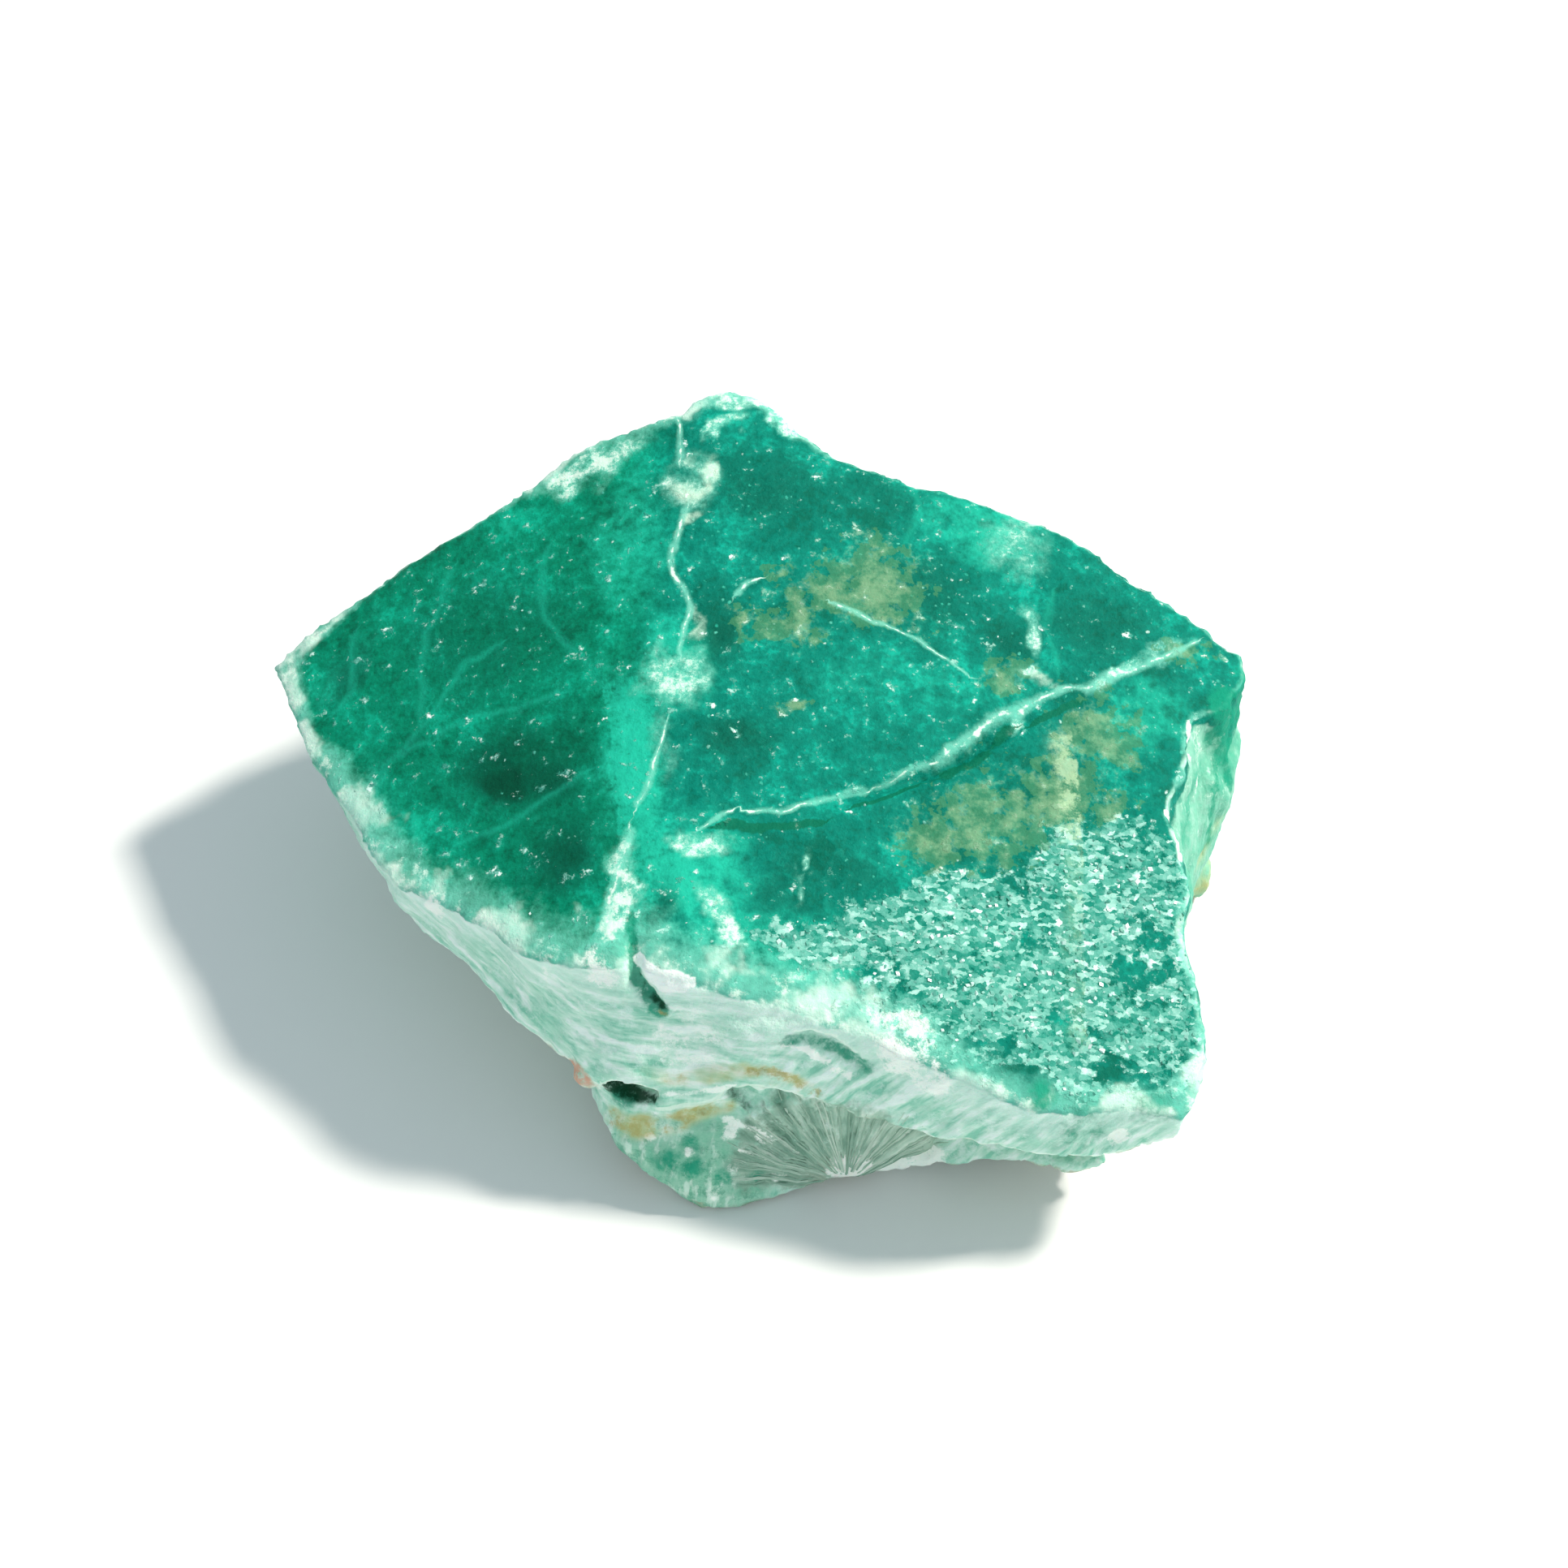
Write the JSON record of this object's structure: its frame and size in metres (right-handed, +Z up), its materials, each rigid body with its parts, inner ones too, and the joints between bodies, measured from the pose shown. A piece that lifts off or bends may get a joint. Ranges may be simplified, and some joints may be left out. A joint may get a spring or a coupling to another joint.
{
  "type": "raw smithsonite",
  "caption": "Broken, unpolished chunk of translucent green smithsonite with a tilted flat top, a pale fibrous rim and a small spray of crystals under it.",
  "frame": {"origin": "middle of the bounding box in plan, on the surface that the stone rests on", "axes": "+X along the stone's longest side, towards its right-hand corner; +Y away from the rim with the crystal spray; +Z up"},
  "size_m": [0.0544, 0.0434, 0.0222],
  "materials": {
    "green_smithsonite": "waxy to vitreous broken crystal, green with pale mint rim, white veins and fine sparkling grain"
  },
  "bodies": {
    "root": {"smithsonite": "green_smithsonite"}
  },
  "joints": []
}
